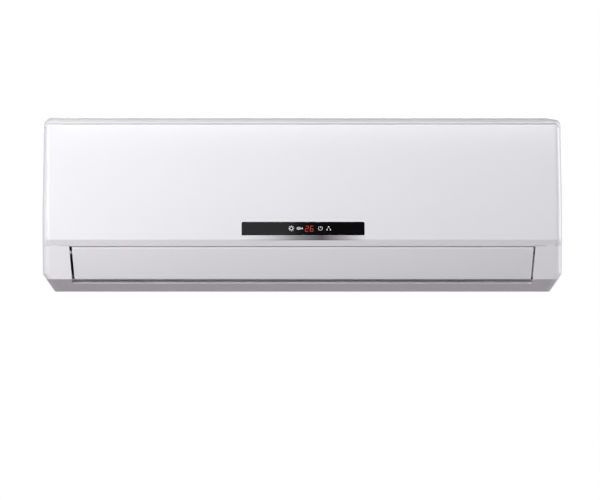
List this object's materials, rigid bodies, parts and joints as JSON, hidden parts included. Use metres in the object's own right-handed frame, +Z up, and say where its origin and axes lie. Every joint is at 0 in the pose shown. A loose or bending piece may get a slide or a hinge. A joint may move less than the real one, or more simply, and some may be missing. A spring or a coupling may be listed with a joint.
{
  "type": "mini split indoor unit",
  "caption": "Wall-mounted air conditioner indoor unit with a hinged front panel, air louver, swing vanes, crossflow fan, coils, top filters and wall plate.",
  "frame": {"origin": "centre of the wall plate's back face, on the wall", "axes": "+X to the right seen from the front, -Y out of the wall to the front, +Z up"},
  "size_m": [0.79, 0.17, 0.265],
  "materials": {
    "case_white": "fine satin moulded ABS, white",
    "panel_white": "gloss moulded ABS, cool white",
    "chassis_grey": "matt moulded polystyrene, light grey",
    "vane_grey": "matt moulded plastic, dark grey",
    "fan_black": "moulded glass-filled styrene, black",
    "pan_foam": "moulded insulated drain pan, off-white",
    "lens_smoke": "smoked polycarbonate, polished",
    "trim_bright": "vacuum-metallised bright trim",
    "steel_zinc": "zinc-plated sheet steel",
    "coil_aluminium": "aluminium fin stock",
    "pipe_copper": "drawn copper tube",
    "nut_brass": "turned brass",
    "net_grey": "fine woven filter net",
    "board_green": "green circuit board",
    "rubber_black": "moulded rubber"
  },
  "bodies": {
    "root": {"front_case": "case_white", "top_inlet_grille": "case_white", "wiring_cover": "case_white", "rear_chassis": "chassis_grey", "louver_middle_support": "chassis_grey", "vane_base_left": "chassis_grey", "vane_base_right": "chassis_grey", "motor_clamp": "chassis_grey", "electrical_box": "chassis_grey", "drain_spigot": "vane_grey", "terminal_block": "vane_grey", "drain_pan": "pan_foam", "wall_plate": "steel_zinc", "fan_motor": "steel_zinc", "louver_motor": "steel_zinc", "electrical_box_cover": "steel_zinc", "case_screw_left": "steel_zinc", "case_screw_right": "steel_zinc", "wiring_cover_screw": "steel_zinc", "motor_clamp_screw_front": "steel_zinc", "motor_clamp_screw_rear": "steel_zinc", "evaporator_front_lower": "coil_aluminium", "evaporator_front_upper": "coil_aluminium", "evaporator_rear": "coil_aluminium", "gas_pipe": "pipe_copper", "liquid_pipe": "pipe_copper", "coil_sensor": "pipe_copper", "gas_flare_nut": "nut_brass", "liquid_flare_nut": "nut_brass", "main_board": "board_green", "fan_bearing": "rubber_black", "drain_plug": "rubber_black"},
    "panel": {"front_panel": "panel_white", "display_window": "lens_smoke", "trim_strip": "trim_bright", "display_board_cover": "case_white", "display_board": "board_green"},
    "louver": {"louver": "case_white", "louver_shaft": "fan_black"},
    "fan": {"crossflow_fan": "fan_black", "fan_motor_shaft": "steel_zinc"},
    "filter_left": {"filter_frame_left": "chassis_grey", "filter_net_left": "net_grey"},
    "filter_right": {"filter_frame_right": "chassis_grey", "filter_net_right": "net_grey"},
    "button": {"manual_button": "chassis_grey"},
    "vane_left_1": {"vane_left_1": "vane_grey"},
    "vane_left_2": {"vane_left_2": "vane_grey"},
    "vane_left_3": {"vane_left_3": "vane_grey"},
    "vane_left_4": {"vane_left_4": "vane_grey"},
    "vane_left_5": {"vane_left_5": "vane_grey"},
    "vane_left_6": {"vane_left_6": "vane_grey"},
    "vane_link_left": {"vane_link_left": "chassis_grey"},
    "vane_right_1": {"vane_right_1": "vane_grey"},
    "vane_right_2": {"vane_right_2": "vane_grey"},
    "vane_right_3": {"vane_right_3": "vane_grey"},
    "vane_right_4": {"vane_right_4": "vane_grey"},
    "vane_link_right": {"vane_link_right": "chassis_grey"}
  },
  "joints": [
    {"name": "panel_hinge", "type": "hinge", "parent": "root", "child": "panel", "pos_m": [0, -0.1605, 0.1193], "axis": [-1, 0, 0], "range_deg": [0, 60]},
    {"name": "louver_swing", "type": "hinge", "parent": "root", "child": "louver", "pos_m": [0, -0.15, -0.0725], "axis": [-1, 0, 0], "range_deg": [0, 75]},
    {"name": "fan_spin", "type": "hinge", "parent": "root", "child": "fan", "pos_m": [0, -0.076, -0.0365], "axis": [1, 0, 0], "continuous": true},
    {"name": "filter_left_slide", "type": "slide", "parent": "root", "child": "filter_left", "axis": [0, -1, 0], "range_m": [0, 0.11]},
    {"name": "filter_right_slide", "type": "slide", "parent": "root", "child": "filter_right", "axis": [0, -1, 0], "range_m": [0, 0.11]},
    {"name": "button_press", "type": "slide", "parent": "root", "child": "button", "axis": [0, 1, 0], "range_m": [0, 0.002], "stiffness_N_per_m": 300},
    {"name": "vane_left_1_swing", "type": "hinge", "parent": "root", "child": "vane_left_1", "pos_m": [-0.32572, -0.112, -0.1086], "axis": [0, -0.1925, 0.9813], "range_deg": [-40, 40]},
    {"name": "vane_left_2_swing", "type": "hinge", "parent": "root", "child": "vane_left_2", "pos_m": [-0.26777, -0.112, -0.1086], "axis": [0, -0.1925, 0.9813], "range_deg": [-40, 40]},
    {"name": "vane_left_3_swing", "type": "hinge", "parent": "root", "child": "vane_left_3", "pos_m": [-0.20983, -0.112, -0.1086], "axis": [0, -0.1925, 0.9813], "range_deg": [-40, 40]},
    {"name": "vane_left_4_swing", "type": "hinge", "parent": "root", "child": "vane_left_4", "pos_m": [-0.15188, -0.112, -0.1086], "axis": [0, -0.1925, 0.9813], "range_deg": [-40, 40]},
    {"name": "vane_left_5_swing", "type": "hinge", "parent": "root", "child": "vane_left_5", "pos_m": [-0.09392, -0.112, -0.1086], "axis": [0, -0.1925, 0.9813], "range_deg": [-40, 40]},
    {"name": "vane_left_6_swing", "type": "hinge", "parent": "root", "child": "vane_left_6", "pos_m": [-0.03598, -0.112, -0.1086], "axis": [0, -0.1925, 0.9813], "range_deg": [-40, 40]},
    {"name": "vane_link_left_turn", "type": "hinge", "parent": "vane_left_1", "child": "vane_link_left", "pos_m": [-0.32572, -0.12574, -0.1113], "axis": [0, -0.1925, 0.9813], "range_deg": [-60, 60]},
    {"name": "vane_right_1_swing", "type": "hinge", "parent": "root", "child": "vane_right_1", "pos_m": [0.04071, -0.112, -0.1086], "axis": [0, -0.1925, 0.9813], "range_deg": [-40, 40]},
    {"name": "vane_right_2_swing", "type": "hinge", "parent": "root", "child": "vane_right_2", "pos_m": [0.10814, -0.112, -0.1086], "axis": [0, -0.1925, 0.9813], "range_deg": [-40, 40]},
    {"name": "vane_right_3_swing", "type": "hinge", "parent": "root", "child": "vane_right_3", "pos_m": [0.17556, -0.112, -0.1086], "axis": [0, -0.1925, 0.9813], "range_deg": [-40, 40]},
    {"name": "vane_right_4_swing", "type": "hinge", "parent": "root", "child": "vane_right_4", "pos_m": [0.24299, -0.112, -0.1086], "axis": [0, -0.1925, 0.9813], "range_deg": [-40, 40]},
    {"name": "vane_link_right_turn", "type": "hinge", "parent": "vane_right_1", "child": "vane_link_right", "pos_m": [0.04071, -0.12574, -0.1113], "axis": [0, -0.1925, 0.9813], "range_deg": [-60, 60]}
  ],
  "couplings": [
    {"joint": "vane_left_2_swing", "follows": "vane_left_1_swing", "ratio": 1},
    {"joint": "vane_left_3_swing", "follows": "vane_left_1_swing", "ratio": 1},
    {"joint": "vane_left_4_swing", "follows": "vane_left_1_swing", "ratio": 1},
    {"joint": "vane_left_5_swing", "follows": "vane_left_1_swing", "ratio": 1},
    {"joint": "vane_left_6_swing", "follows": "vane_left_1_swing", "ratio": 1},
    {"joint": "vane_link_left_turn", "follows": "vane_left_1_swing", "ratio": -1},
    {"joint": "vane_right_2_swing", "follows": "vane_right_1_swing", "ratio": 1},
    {"joint": "vane_right_3_swing", "follows": "vane_right_1_swing", "ratio": 1},
    {"joint": "vane_right_4_swing", "follows": "vane_right_1_swing", "ratio": 1},
    {"joint": "vane_link_right_turn", "follows": "vane_right_1_swing", "ratio": -1}
  ]
}
